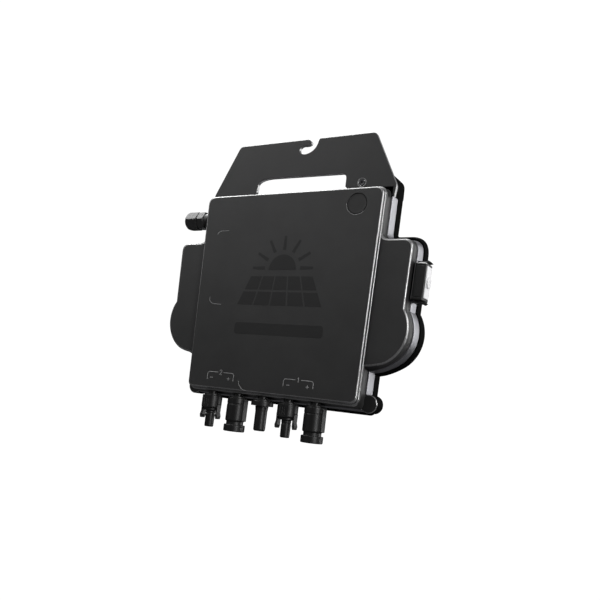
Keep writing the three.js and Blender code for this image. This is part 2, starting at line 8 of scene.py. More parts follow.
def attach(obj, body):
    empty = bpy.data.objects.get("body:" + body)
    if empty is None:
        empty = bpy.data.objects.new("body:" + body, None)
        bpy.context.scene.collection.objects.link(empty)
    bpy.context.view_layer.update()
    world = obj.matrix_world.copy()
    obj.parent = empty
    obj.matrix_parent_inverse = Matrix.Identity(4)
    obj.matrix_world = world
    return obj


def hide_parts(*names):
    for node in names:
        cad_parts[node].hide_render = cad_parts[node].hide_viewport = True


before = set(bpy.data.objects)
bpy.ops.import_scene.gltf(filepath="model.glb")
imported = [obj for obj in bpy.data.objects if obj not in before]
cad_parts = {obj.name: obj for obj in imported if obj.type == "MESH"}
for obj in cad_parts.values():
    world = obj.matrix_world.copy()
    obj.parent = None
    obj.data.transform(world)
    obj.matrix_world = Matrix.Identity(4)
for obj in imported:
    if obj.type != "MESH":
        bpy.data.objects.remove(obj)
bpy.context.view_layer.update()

MM = 0.001
MOUNT = Vector((0, 18, 234))  # the frame's origin, on the bracket's rear face
TO_FRAME = Matrix.Scale(MM, 4) @ Matrix.Translation(-MOUNT)
ROOT = "inverter"

# ---------- camera ----------
CAMERA_PLACE = (0.33609, -0.54016, -0.23227)  # in front and to the right, as low as the object's foot
CAMERA_ANGLES = (98.871, -6.726, 29.752)  # degrees about X, Y and Z
CAMERA_LENS = 40.52

camera_data = bpy.data.cameras.new("camera")
camera_data.lens = CAMERA_LENS
camera_data.sensor_width = 36
camera = bpy.data.objects.new("camera", camera_data)
camera.location = CAMERA_PLACE
camera.rotation_euler = [math.radians(angle) for angle in CAMERA_ANGLES]
bpy.context.scene.collection.objects.link(camera)
bpy.context.scene.camera = camera
bpy.context.scene.view_settings.view_transform = "Standard"


# ---------- materials ----------
def linear(value):
    """A colour channel of 0 to 255 as the eye sees it, as a linear one."""
    share = value / 255
    return share / 12.92 if share <= 0.04045 else ((share + 0.055) / 1.055) ** 2.4


def grey(value, blue=0):
    """A grey of 0 to 255, with its blue raised a little where it is cold."""
    return (linear(value), linear(value), linear(value + blue), 1)


def finish(name, colour, roughness, *, metal=0.0, spread=0.08, grain=900.0, bump=0.12, depth=0.00006,
           blotch=35.0, tone=0.25, edge=None, wear=0.6, radius=0.0005, specular=0.5, streak=None):
    """A procedural surface: blotchy tone, fine grain in bump and roughness, and edges worn to another colour.

    grain and blotch are the scales of two noises, per metre, and streak scales the grain along each axis.
    tone is how far the colour strays, and wear how much of the edge colour shows within radius of an edge."""
    material = bpy.data.materials.new(name)
    material.use_nodes = True
    nodes, links = material.node_tree.nodes, material.node_tree.links
    nodes.clear()
    out = nodes.new("ShaderNodeOutputMaterial")
    shader = nodes.new("ShaderNodeBsdfPrincipled")
    links.new(shader.outputs[0], out.inputs[0])
    shader.inputs["Metallic"].default_value = metal
    shader.inputs["Specular IOR Level"].default_value = specular
    place = nodes.new("ShaderNodeTexCoord").outputs["Object"]
    fine_place = place
    if streak:
        stretch = nodes.new("ShaderNodeMapping")
        stretch.inputs["Scale"].default_value = streak
        links.new(place, stretch.inputs["Vector"])
        fine_place = stretch.outputs[0]

    def noise(scale, detail, where):
        node = nodes.new("ShaderNodeTexNoise")
        node.inputs["Scale"].default_value = scale
        node.inputs["Detail"].default_value = detail
        links.new(where, node.inputs["Vector"])
        return node.outputs["Fac"]

    def ranged(value, low, high, new_low, new_high):
        node = nodes.new("ShaderNodeMapRange")
        for socket, number in zip(node.inputs[1:5], (low, high, new_low, new_high)):
            socket.default_value = number
        links.new(value, node.inputs[0])
        return node.outputs[0]

    def mixed(share, first, second):
        node = nodes.new("ShaderNodeMix")
        node.data_type = "RGBA"
        for socket, value in ((node.inputs[0], share), (node.inputs[6], first), (node.inputs[7], second)):
            if isinstance(value, tuple):
                socket.default_value = value
            else:
                links.new(value, socket)
        return node.outputs[2]

    cloud = noise(blotch, 4, place)
    fine = noise(grain, 3, fine_place)
    darker = tuple(channel * (1 - tone) for channel in colour[:3]) + (1,)
    lighter = tuple(min(1, channel * (1 + tone)) for channel in colour[:3]) + (1,)
    base = mixed(ranged(cloud, 0.3, 0.7, 0, 1), darker, lighter)
    base = mixed(ranged(fine, 0.45, 0.75, 0, 0.35), base, lighter)
    rough = ranged(fine, 0.25, 0.75, roughness - spread, roughness + spread)

    rounded = nodes.new("ShaderNodeBevel")
    rounded.samples = 4
    rounded.inputs["Radius"].default_value = radius
    if edge:
        compare = nodes.new("ShaderNodeVectorMath")
        compare.operation = "DOT_PRODUCT"
        links.new(rounded.outputs[0], compare.inputs[0])
        links.new(nodes.new("ShaderNodeNewGeometry").outputs["Normal"], compare.inputs[1])
        rim = ranged(compare.outputs["Value"], 0.995, 0.88, 0, 1)  # the cosine falls where an edge is near
        patch = ranged(noise(blotch * 6, 5, place), 0.35, 0.62, 0.15, 1)
        worn = nodes.new("ShaderNodeMath")
        worn.operation = "MULTIPLY"
        links.new(rim, worn.inputs[0])
        links.new(patch, worn.inputs[1])
        base = mixed(ranged(worn.outputs[0], 0, 1, 0, wear), base, edge)
    links.new(base, shader.inputs["Base Color"])
    links.new(rough, shader.inputs["Roughness"])
    relief = nodes.new("ShaderNodeBump")
    relief.inputs["Strength"].default_value = bump
    relief.inputs["Distance"].default_value = depth
    links.new(fine, relief.inputs["Height"])
    links.new(rounded.outputs[0], relief.inputs["Normal"])
    links.new(relief.outputs[0], shader.inputs["Normal"])
    return material


COVER = finish("cover_coat", grey(36), 0.5, grain=2600, bump=0.16, edge=grey(96), wear=0.3, tone=0.18)
# a bright, shiny copy of the cover's coat for the edges that catch the light: a painted highlight
COVER_RIM_HIGHLIGHT = finish("cover_edge_painted_highlight", grey(170), 0.3, metal=0.85, grain=2600, bump=0.1, tone=0.12)
TRAY = finish("tray_coat", grey(8), 0.7, grain=2200, bump=0.16, edge=grey(26), wear=0.4, specular=0.018)
# a lighter copy of the tray's coat for the rear, where no lamp shines: painted light
TRAY_REAR_LIT = finish("tray_rear_painted_light", grey(26), 0.5, grain=2200, bump=0.16, edge=grey(60), wear=0.4)
# a lighter copy of the tray's coat for the lugs' fronts: painted light
LUG_FACE_LIT = finish("lug_face_painted_light", grey(30), 0.6, grain=2200, bump=0.16, specular=0.3)
GLAND = finish("gland_plastic", grey(44), 0.42, grain=2600, bump=0.1, edge=grey(70), wear=0.4)
CAST = finish("cast_frame_metal", grey(156, 4), 0.42, metal=1.0, grain=500, bump=0.14, edge=grey(190),
              wear=0.4, streak=(1, 3.5, 0.12), tone=0.1)
PLATE = finish("bracket_coat", grey(27), 0.48, grain=1800, bump=0.2, edge=grey(128), wear=0.3, tone=0.2)
# a bright metallic copy of the bracket's coat for its edges: a painted highlight where the edges catch the
# light
PLATE_RIM_HIGHLIGHT = finish("bracket_edge_painted_highlight", grey(165), 0.34, metal=0.85, grain=1800, bump=0.15, tone=0.12)
MOULDED = finish("moulded_plastic", grey(21), 0.4, grain=3000, bump=0.12, edge=grey(70), wear=0.4,
                 specular=0.4)
ARM = finish("latch_plastic", grey(30), 0.4, grain=3000, bump=0.1, edge=grey(84), wear=0.5)
RUBBER = finish("seal_rubber", grey(16), 0.82, grain=1500, bump=0.25, specular=0.3)
LID = finish("cap_plastic", grey(248, 1), 0.46, grain=2600, bump=0.1, edge=grey(245), wear=0.5, tone=0.06)
ZINC = finish("zinc_plate", grey(170, 3), 0.34, metal=1.0, grain=1600, bump=0.2, spread=0.1, edge=grey(214))
DARK_ZINC = finish("dark_zinc", grey(66, 2), 0.4, metal=1.0, grain=1600, bump=0.2, spread=0.1,
                   edge=grey(120))
PLAQUE = finish("label_foil", grey(178), 0.5, metal=0.6, grain=1400, bump=0.1, streak=(0.1, 1, 4), tone=0.05)
PLAQUE_INK = finish("label_ink", grey(48), 0.6, grain=2600, bump=0.05)
EMBLEM = finish("emblem_ink", grey(24), 0.56, grain=3400, bump=0.08, tone=0.1, radius=0.0001, specular=0.4)
# light grey for the moulded marks, and for lines that are painted highlights on rims and corners
MARK_AND_HIGHLIGHT = finish("relief_mark_and_painted_highlight", grey(170), 0.5, grain=3400, bump=0.08, tone=0.3, blotch=150, radius=0.0001)
COPPER = finish("winding_copper", (0.45, 0.16, 0.05, 1), 0.36, metal=1.0, grain=260, bump=0.6, depth=0.0003,
                streak=(1, 8, 1))
FERRITE = finish("ferrite", grey(58), 0.7, grain=1400, bump=0.3)
BOARD = finish("solder_mask", (0.012, 0.09, 0.035, 1), 0.4, grain=420, bump=0.2, blotch=120, tone=0.35)
SHEET = finish("rolled_sheet", grey(168), 0.38, metal=1.0, grain=700, bump=0.2, streak=(0.08, 1, 3))
SLEEVE = finish("can_sleeve", (0.02, 0.05, 0.075, 1), 0.35, grain=1600, bump=0.1)

# CAD nodes that are kept as they are, and only need a finish
NODE_FINISH = {
    "cover_seal": RUBBER, "gland_seal": RUBBER, "gland_blanking_pin": RUBBER, "ac_port_seal": RUBBER,
    "gland_locknut": MOULDED, "radio_board_header": MOULDED, "relay": MOULDED,
    "ground_insert": DARK_ZINC, "filter_choke": COPPER, "heat_spreader": SHEET,
    "circuit_board": BOARD, "radio_board": BOARD,
}
for side in ("left", "right"):
    NODE_FINISH[f"transformer_core_{side}"] = FERRITE
    NODE_FINISH[f"transformer_coil_{side}"] = COPPER
    for number in (1, 2):
        NODE_FINISH[f"dc_plug_{number}_latch_{side}"] = ARM
for end in ("lower", "upper"):
    NODE_FINISH[f"ac_port_latch_{end}"] = ARM
for number in (1, 2):
    NODE_FINISH[f"dc_socket_{number}_contact"] = ZINC
for number in (1, 2, 3):
    NODE_FINISH[f"ac_contact_{number}"] = COPPER
for number in (1, 2, 3, 4):
    NODE_FINISH[f"capacitor_{number}"] = SLEEVE

LATCH_WELD, LATCH_FILLET = 0.00001, 0.00028
for name, material in NODE_FINISH.items():
    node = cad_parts[name]
    node.data.materials.clear()
    node.data.materials.append(material)
    if "latch" in name:
        weld = node.modifiers.new("weld", "WELD")
        weld.merge_threshold = LATCH_WELD
        fillets = node.modifiers.new("rounded_edges", "BEVEL")
        fillets.width = LATCH_FILLET
        fillets.segments = 3
        fillets.limit_method = "ANGLE"
        fillets.angle_limit = math.radians(25)


# ---------- solids, as temporary objects in millimetres ----------
def place_solid(mesh):
    made = bpy.data.objects.new("solid", mesh)
    bpy.context.scene.collection.objects.link(made)
    return made


def keep(bm):
    bmesh.ops.recalc_face_normals(bm, faces=bm.faces)
    mesh = bpy.data.meshes.new("solid")
    bm.to_mesh(mesh)
    bm.free()
    return place_solid(mesh)


def discard(*objects):
    for made in objects:
        mesh = made.data
        bpy.data.objects.remove(made)
        bpy.data.meshes.remove(mesh)


def bridge(bm, pairs):
    """Four-sided faces between each pair of closed loops of as many points."""
    for first, second in pairs:
        count = len(first)
        for i in range(count):
            j = (i + 1) % count
            bm.faces.new((first[i], first[j], second[j], second[i]))


def loft(rings, tube=False):
    """A solid between outlines of as many points, each (y, [(x, z), ...]).

    A tube joins its last outline to its first."""
    bm = bmesh.new()
    loops = [[bm.verts.new((x, y, z)) for x, z in points] for y, points in rings]
    pairs = list(zip(loops, loops[1:]))
    if tube:
        pairs.append((loops[-1], loops[0]))
    bridge(bm, pairs)
    if not tube:
        bm.faces.new(loops[0])
        bm.faces.new(loops[-1])
    return keep(bm)


def turned(profile, axis, centre, steps=56):
    """A round solid from (radius, distance) points, closed on the axis or round a ring-shaped profile."""
    bm = bmesh.new()
    cx, cy, cz = centre

    def place(radius, along, angle):
        u, v = radius * math.cos(angle), radius * math.sin(angle)
        if axis == "x":
            return along + cx, u + cy, v + cz
        if axis == "y":
            return u + cx, along + cy, v + cz
        return u + cx, v + cy, along + cz

    loops = []
    for radius, along in profile:
        turns = 1 if radius == 0 else steps
        loops.append([bm.verts.new(place(radius, along, 2 * math.pi * i / steps)) for i in range(turns)])
    pairs = list(zip(loops, loops[1:]))
    if profile[0][0] > 0:
        pairs.append((loops[-1], loops[0]))
    for near, far in pairs:
        if len(near) == len(far) == 1:
            continue
        for i in range(steps):
            j = (i + 1) % steps
            corners = [near[i % len(near)], near[j % len(near)], far[j % len(far)], far[i % len(far)]]
            bm.faces.new([corner for k, corner in enumerate(corners) if corner is not corners[k - 1]])
    return keep(bm)


def rod(radius, start, end, axis, centre, steps=56):
    return turned([(0, start), (radius, start), (radius, end), (0, end)], axis, centre, steps)


def round_edges(bm, edges, fillet, segments):
    bmesh.ops.bevel(bm, geom=edges, offset=fillet, segments=segments, profile=0.5, affect="EDGES",
                    clamp_overlap=False)


def plate(outline, y0, y1, fillet=0.0, holes=(), segments=3):
    """A flat solid with rounded edges from an outline of (x, z) points, and holes through it."""
    bm = bmesh.new()
    edges = []
    for loop in (outline, *holes):
        verts = [bm.verts.new((x, y0, z)) for x, z in loop]
        edges += [bm.edges.new(ends) for ends in zip(verts, verts[1:] + verts[:1])]
    if holes:
        bmesh.ops.triangle_fill(bm, edges=edges, use_beauty=True)
    else:
        bm.faces.new(verts)
    made = bmesh.ops.extrude_face_region(bm, geom=list(bm.faces))
    moved = [item for item in made["geom"] if isinstance(item, bmesh.types.BMVert)]
    bmesh.ops.translate(bm, verts=moved, vec=(0, y1 - y0, 0))
    bmesh.ops.recalc_face_normals(bm, faces=bm.faces)
    if fillet:
        rims = [edge for edge in bm.edges
                if edge.calc_face_angle(0) > 1 and abs(edge.verts[0].co.y - edge.verts[1].co.y) < 1e-6]
        round_edges(bm, rims, fillet, segments)
    return keep(bm)


def block(low, high, fillet=0.0):
    bm = bmesh.new()
    bmesh.ops.create_cube(bm, size=1)
    size = Vector(high) - Vector(low)
    bmesh.ops.scale(bm, verts=bm.verts, vec=size)
    bmesh.ops.translate(bm, verts=bm.verts, vec=Vector(low) + size / 2)
    if fillet:
        round_edges(bm, list(bm.edges), fillet, 3)
    return keep(bm)


def combine(base, others, operation):
    """The first solid with the others joined to it, cut from it or kept in common with it."""
    for other in others:
        step = base.modifiers.new("combine", "BOOLEAN")
        step.operation = operation
        step.solver = "MANIFOLD"
        step.object = other
    evaluated = base.evaluated_get(bpy.context.evaluated_depsgraph_get())
    result = place_solid(bpy.data.meshes.new_from_object(evaluated))
    discard(base, *others)
    return result


def join(base, *others):
    return combine(base, others, "UNION")


def cut(base, *others):
    return combine(base, others, "DIFFERENCE")


def piece(made, name, material, *, body=ROOT, replaces=(), sharp=34, turn=None, special=()):
    """Turns a temporary solid into a finished piece in the frame, smooth but for its sharp edges.

    Each pair in special is another material and a test of (centre, normal), in millimetres before any turn,
    that picks its faces."""
    mesh = made.data
    mesh.materials.clear()
    mesh.materials.append(material)
    mesh.polygons.foreach_set("material_index", [0] * len(mesh.polygons))
    for index, (other, picks) in enumerate(special, 1):
        mesh.materials.append(other)
        for face in mesh.polygons:
            if picks(face.center, face.normal):
                face.material_index = index
    if turn:
        mesh.transform(turn)
    mesh.transform(TO_FRAME)
    mesh.shade_smooth()
    mesh.set_sharp_from_angle(angle=math.radians(sharp))
    made.name = name
    mesh.name = name
    made.modifiers.clear()
    flat = made.modifiers.new("flat_faces_stay_flat", "WEIGHTED_NORMAL")
    flat.keep_sharp = True
    flat.weight = 100
    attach(made, body)
    if replaces:
        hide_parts(*replaces)
    return made


# ---------- outlines, as lists of (x, z) points ----------
def bezier(start, control, end, steps):
    """Points along a curve that leaves start towards control and comes from there to end."""
    points = []
    for i in range(steps + 1):
        t = i / steps
        points.append(tuple((1 - t) ** 2 * a + 2 * t * (1 - t) * c + t * t * b
                            for a, c, b in zip(start, control, end)))
    return points


def arc(cx, cz, radius, start, end, steps):
    """Points round a centre from one angle to another, in degrees."""
    angles = [math.radians(start + (end - start) * i / steps) for i in range(steps + 1)]
    return [(cx + radius * math.cos(a), cz + radius * math.sin(a)) for a in angles]


def circle(cx, cz, radius, steps=56):
    return arc(cx, cz, radius, 0, 360, steps)[:-1]


def mirrored(right):
    """A closed outline from its right half, which goes from the bottom to the top."""
    return right + [(-x, z) for x, z in reversed(right)]


def filleted(profile, radius, steps=3):
    """A profile whose inner corners are rounded, each by no more than a third of its shorter side."""
    points = [profile[0]]
    for before, corner, after in zip(profile, profile[1:], profile[2:]):
        middle = Vector(corner)
        back, on = Vector(before) - middle, Vector(after) - middle
        reach = min(radius, back.length / 3, on.length / 3)
        points += bezier(middle + back.normalized() * reach, middle, middle + on.normalized() * reach, steps)
    return points + [profile[-1]]


TAPER = 0.0336  # how much a side of the body leans out with height
SHOULDER_TAPER = 0.045  # the same for the walls outside the shoulders
WALL = 2.6
LOBE_CENTRE = (96.5, 74)
UNDERSIDE = math.radians(30)  # where a lobe's round turns into its sloping underside
UNDERSIDE_SAG = 1.4  # how far the underside stays above its foot for most of its length
LOBE_JOINS = 95  # the height at which the wall's reach is taken to end a lobe's round
DEPTH = 41.2

# Outlines of the body from front to back. half and reach are the half widths of the body and of the shoulders
# at height 0, foot is where a lobe's underside leaves the body, and the last four say how far the rounds of
# the corners reach: corner and toe at the body's top and bottom, bend and nook outside and inside a shoulder.
PANEL = dict(bottom=8.4, top=200.3, half=90.4, corner=8, toe=5)
FACE = dict(bottom=5.9, top=199.9, half=90.4, shoulder=153, reach=120.2, lobe=33.2, foot=40.4,
            corner=8, toe=5, bend=8, nook=11)
COVER_BACK = {**FACE, "bottom": 4.4, "top": 203, "half": 91.1, "shoulder": 154.6, "reach": 120.5,
              "foot": 37.6, "bend": 9, "nook": 10}
FRAME_FRONT = {**COVER_BACK, "bottom": 3.6, "top": 203.6, "half": 91.8, "shoulder": 155.2, "reach": 121,
               "lobe": 33.9, "foot": 37.4, "bend": 11, "nook": 9}
FRAME_BACK = {**FRAME_FRONT, "bottom": 2.4, "top": 207.4, "shoulder": 158, "foot": 37, "bend": 13, "nook": 7}
TRAY_FRONT = {**FRAME_BACK, "bottom": 1, "top": 209, "half": 92.2, "shoulder": 161.2, "reach": 122,
              "lobe": 34.9, "foot": 35.7, "bend": 17, "nook": 2}
TRAY_BACK = {**TRAY_FRONT, "bottom": 0, "top": 212, "shoulder": 164.4, "lobe": 35.2, "foot": 35.4, "bend": 19}

EAR_TOP = (90.3, 210.4)
EAR_RADIUS, EAR_DROP = 9, 8.5  # the drop is the straight part of an upper ear's sides
LUG = (95.2, 9.9)
LUG_RADIUS, LUG_DROP, LUG_FRONT, LUG_REAR = 7.8, 0.4, 17.3, 31.6
BRACKET_FRONT, BRACKET_REAR = 14.5, 18
FRAME_START, FRAME_END = 17.3, 30
TRAY_START = 30.3
CLOSING = [(-80, 26), (80, 26), (-88, 158), (88, 158), (-116, 138), (116, 138)]


def mix(front, back, t):
    return {key: front[key] + (back[key] - front[key]) * t for key in front}


def toe_and_top(layer, inset):
    """The right half of a body's outline: its lower corner, and its upper one."""
    def side(z):
        return layer["half"] + TAPER * z - inset

    bottom, top = layer["bottom"] + inset, layer["top"] - inset
    toe, corner = layer["toe"], layer["corner"]
    lower = bezier((side(bottom) - toe, bottom), (side(bottom), bottom),
                   (side(bottom + toe), bottom + toe), 12)
    upper = bezier((side(top - corner), top - corner), (side(top), top), (side(top) - corner, top), 12)
    return lower, upper


def panel_outline(inset=0.0):
    lower, upper = toe_and_top(PANEL, inset)
    return mirrored(lower + upper)


def body_outline(layer, inset=0.0):
    """The body at one depth: a lobe low on each side, a wall above it and a shoulder over that."""
    def side(z):
        return layer["half"] + TAPER * z - inset

    def outer(z):
        return layer["reach"] + SHOULDER_TAPER * z - inset

    shoulder, lobe = layer["shoulder"] - inset, layer["lobe"] - inset
    foot, bend, nook = layer["foot"] + inset, layer["bend"], layer["nook"]
    cx, cz = LOBE_CENTRE
    tangent_x, tangent_z = cx + lobe * math.sin(UNDERSIDE), cz - lobe * math.cos(UNDERSIDE)
    sag = foot + UNDERSIDE_SAG
    sag_x = tangent_x - (tangent_z - sag) / math.tan(UNDERSIDE)
    reach = outer(LOBE_JOINS) - cx
    meet = math.degrees(math.atan2(math.sqrt(lobe**2 - reach**2), reach))
    lower, upper = toe_and_top(layer, inset)
    return mirrored(
        lower
        + bezier((side(foot), foot), (sag_x, sag), (tangent_x, tangent_z), 16)[:-1]
        + arc(cx, cz, lobe, math.degrees(UNDERSIDE) - 90, meet, 60)
        + bezier((outer(shoulder - bend), shoulder - bend), (outer(shoulder), shoulder),
                 (outer(shoulder) - bend, shoulder), 18)
        + bezier((side(shoulder) + nook, shoulder), (side(shoulder), shoulder),
                 (side(shoulder + nook), shoulder + nook), 10)
        + upper
    )


def section(y, layer, inset=0.0):
    return y, body_outline(layer, inset)


def fillet_rings(radius, steps=4):
    """(depth, inset) pairs of a rounded edge, from the front face to the wall."""
    angles = [math.pi / 2 * i / steps for i in range(steps + 1)]
    return [(radius * (1 - math.cos(a)), radius * (1 - math.sin(a))) for a in angles]


# ---------- front cover ----------
RAISED = 4.2  # how far the panel stands in front of the shoulders and the lobes
COVER_END = 16  # where the cover's wall ends, in front of the seam
RECESS = (71.9, 185.2)
CONNECTOR_Y = 10.5  # the middle of the row of connectors
PLUG_X = (-66.5, 19.4)
SOCKET_X = (-36.7, 47.3)
ANTENNA_X = -8.6
GLAND_Y, GLAND_Z = 9.5, 178

PANEL_FILLET, LOBE_FILLET = 1.2, 1.5
WALL_STEPS, WALL_HOLLOW = 8, 1.3  # the cover's wall is slightly hollow between its front and its back

panel_rings = [(y, panel_outline(inset)) for y, inset in fillet_rings(PANEL_FILLET, 5)]
ledge = [(3.0, 0), (3.7, -0.1), (4.1, -0.45), (4.25, -1.0), (7, -1.0)]  # the panel's foot flares out
panel_rings += [(y, panel_outline(inset)) for y, inset in ledge]
lobe_rings = [section(RAISED + y, FACE, inset) for y, inset in fillet_rings(LOBE_FILLET, 5)]
for step in range(1, WALL_STEPS + 1):
    t = step / WALL_STEPS
    y = RAISED + LOBE_FILLET + (COVER_END - RAISED - LOBE_FILLET - 0.7) * t
    lobe_rings.append(section(y, mix(FACE, COVER_BACK, t), WALL_HOLLOW * (t - t**4)))
lobe_rings += [section(COVER_END - 0.2, COVER_BACK, 0.2), section(COVER_END, COVER_BACK, 0.7)]
inner_rings = [section(COVER_END, COVER_BACK, WALL), section(RAISED + 2.4, FACE, WALL)]
shell = join(loft(lobe_rings + inner_rings), loft(panel_rings))
feeds = [rod(4.9, -2, 7.5, "z", (x, CONNECTOR_Y, 0), 24) for x in (*PLUG_X, *SOCKET_X, ANTENNA_X)]
gland_hole = rod(5.3, -110, -90, "x", (0, GLAND_Y, GLAND_Z), 32)
recess_at = (RECESS[0], 0, RECESS[1])
recess = turned([(0, -1), (10.3, -1), (10.3, 0), (10.05, 0.05), (9.85, 0.25), (9.8, 0.9), (0, 0.9)],
                "y", recess_at, 72)
shell = cut(shell, *feeds, gland_hole, recess)


def cover_highlight_faces(centre, normal):
    """The rounded edges of the panel and of the lobe faces, and the ledge at the panel's foot, where they do
    not face left: they get a bright metallic painted highlight.
    """
    rounded = 0.08 < abs(normal.y) < 0.995
    recessed = math.hypot(centre.x - RECESS[0], centre.z - RECESS[1]) < 12
    return rounded and not recessed and normal.x > -0.3 and (centre.y < 1.2 or 3.4 < centre.y < 5.5)


piece(shell, "cover_shell", COVER, replaces=["front_cover"], special=[(COVER_RIM_HIGHLIGHT, cover_highlight_faces)])
ripples = [(2, 0.42), (4, 0.47), (6, 0.42), (8, 0.47)]
disc = turned([(0, 0.42), *ripples, (8.9, 0.36), (9.25, 0.42), (9.4, 0.55), (9.4, 0.7), (0, 0.7)],
              "y", recess_at, 72)
piece(disc, "recess_cap", MOULDED, replaces=["recess_disc"])

# ---------- cast frame behind the seam ----------
band_wall = WALL + 0.6
band = loft([
    section(FRAME_START, FRAME_FRONT, 0.8), section(FRAME_START + 0.25, FRAME_FRONT, 0.25),
    section(FRAME_START + 0.8, FRAME_FRONT, 0),
    section(FRAME_END - 0.8, FRAME_BACK, 0), section(FRAME_END - 0.25, FRAME_BACK, 0.25),
    section(FRAME_END, FRAME_BACK, 0.8), section(FRAME_END, FRAME_BACK, band_wall),
    section(FRAME_START, FRAME_FRONT, band_wall),
], tube=True)


def ear_outline(x, z, drop, radius):
    return [*arc(x, z, radius, 0, 180, 32), *arc(x, z - drop, radius, 180, 360, 32)]


UPPER_EAR = (EAR_DROP, EAR_RADIUS, BRACKET_REAR + 0.3, DEPTH)
LOWER_LUG = (LUG_DROP, LUG_RADIUS, LUG_FRONT, LUG_REAR)
EARS = [(s * x, z, *rest) for s in (-1, 1) for (x, z), rest in ((EAR_TOP, UPPER_EAR), (LUG, LOWER_LUG))]
EAR_WEB, EAR_GAP = 3.2, 0.5  # the frame's metal round an ear, and the air between them

webs, ear_gaps = [], []
for x, z, drop, radius, _, _ in EARS:
    web = plate(ear_outline(x, z, drop, radius + EAR_WEB), FRAME_START, FRAME_END)
    inside = loft([section(FRAME_START, FRAME_FRONT, 0.3), section(FRAME_END, FRAME_BACK, 0.3)])
    webs.append(combine(web, [inside], "INTERSECT"))
    ear_gaps.append(plate(ear_outline(x, z, drop, radius + EAR_GAP), FRAME_START - 1, FRAME_END + 1))
piece(cut(join(band, *webs), *ear_gaps), "frame_band", CAST, replaces=["mid_frame"])

# ---------- rear tray ----------
FLOOR = 36.6
FIN_COUNT, FIN_PITCH, FIN_LOW, FIN_HIGH, FIN_DEPTH = 11, 14, 34, 128, 2.2
LABEL_X, LABEL_LOW, LABEL_HIGH = 38, 150, 196

tray = loft(
    [section(FLOOR, TRAY_BACK, WALL + 0.4), section(TRAY_START, TRAY_FRONT, WALL),
     section(TRAY_START, TRAY_FRONT, 0.7), section(TRAY_START + 0.2, TRAY_FRONT, 0.2),
     section(TRAY_START + 0.7, TRAY_FRONT, 0)]
    + [section(DEPTH - y, TRAY_BACK, inset) for y, inset in reversed(fillet_rings(1.3))]
)
ears = [plate(ear_outline(x, z, drop, radius), front, rear, 1.1, segments=4)
        for x, z, drop, radius, front, rear in EARS]
pillars = [rod(4, TRAY_START, FLOOR + 1, "y", (x, 0, z), 24) for x, z in CLOSING]
pockets = []
for index in range(FIN_COUNT):
    x = (index - (FIN_COUNT - 1) / 2) * FIN_PITCH
    half = FIN_PITCH / 2 - 1.6
    slot = [*arc(x, FIN_HIGH - half, half, 0, 180, 14), *arc(x, FIN_LOW + half, half, 180, 360, 14)]
    pockets.append(plate(slot, DEPTH - FIN_DEPTH, DEPTH + 1))
holes = [rod(2.0, TRAY_START - 1, DEPTH + 1, "y", (x, 0, z), 24) for x, z in CLOSING]
holes += [rod(3.8, 38.8, DEPTH + 1, "y", (x, 0, z), 40) for x, z in CLOSING]
for s in (-1, 1):
    at = (s * EAR_TOP[0], 0, EAR_TOP[1])
    holes += [rod(2.5, 0, DEPTH + 1, "y", at, 24), rod(4.7, 37.4, DEPTH + 1, "y", at, 40)]
label_seat = block((-LABEL_X, DEPTH - 1.1, LABEL_LOW), (LABEL_X, DEPTH + 1, LABEL_HIGH))
tray = cut(join(tray, *ears, *pillars), *pockets, *holes, label_seat)


def lug_highlight_faces(centre, normal):
    """The rounded front edge of the two lower lugs, which gets the cover's bright painted highlight."""
    near = math.hypot(abs(centre.x) - LUG[0], centre.z - LUG[1]) < LUG_RADIUS + 0.6
    return near and centre.y < LUG_FRONT + 1.3 and -0.95 < normal.y < -0.2


def lug_face(centre, normal):
    """The flat front of the lower lugs, which gets a lighter copy of the tray's coat as painted light."""
    return centre.y < LUG_FRONT + 0.1 and centre.z < LUG[1] + LUG_RADIUS and normal.y < -0.95


def tray_rear(centre, normal):
    """The tray's rear face and everything inside its pockets, which get a lighter copy of the tray's coat as
    painted light, since no lamp shines there.
    """
    return centre.y > DEPTH - 2.6 and (normal.y > 0.3 or abs(centre.x) < 80 and FIN_LOW < centre.z < FIN_HIGH)


piece(tray, "tray_shell", TRAY, replaces=["rear_tray"],
      special=[(COVER_RIM_HIGHLIGHT, lug_highlight_faces), (LUG_FACE_LIT, lug_face), (TRAY_REAR_LIT, tray_rear)])


def rounded_box(x0, x1, z0, z1, radius):
    corners = [(x1 - radius, z0 + radius, -90), (x1 - radius, z1 - radius, 0),
               (x0 + radius, z1 - radius, 90), (x0 + radius, z0 + radius, 180)]
    points = []
    for cx, cz, start in corners:
        points += arc(cx, cz, radius, start, start + 90, 6)
    return points


LABEL_GAP, BAR_PITCH, BAR_HALF = 0.5, 7, 1.2
edge_of_foil = rounded_box(LABEL_GAP - LABEL_X, LABEL_X - LABEL_GAP, LABEL_LOW + LABEL_GAP,
                           LABEL_HIGH - LABEL_GAP, 2)
piece(plate(edge_of_foil, DEPTH - 0.8, DEPTH - 0.2, 0.1), "label_plate", PLAQUE, replaces=["rear_label"])
for index in range(5):
    z = LABEL_HIGH - 9 - BAR_PITCH * index
    end = 14 if index % 2 else 32  # long and short bars by turns, as lines of blank print
    bar = plate(rounded_box(-32, end, z - BAR_HALF, z + BAR_HALF, 0.6), DEPTH - 0.24, DEPTH - 0.14)
    piece(bar, f"label_bar_{index + 1}", PLAQUE_INK)


# ---------- screws ----------
def threads(radius, depth, start, pitch, count):
    """Profile points of a thread: a crest and a root for each turn."""
    points = []
    for turn_number in range(count):
        crest = start + turn_number * pitch
        points += [(radius, crest), (radius - depth, crest + pitch / 2)]
    return points


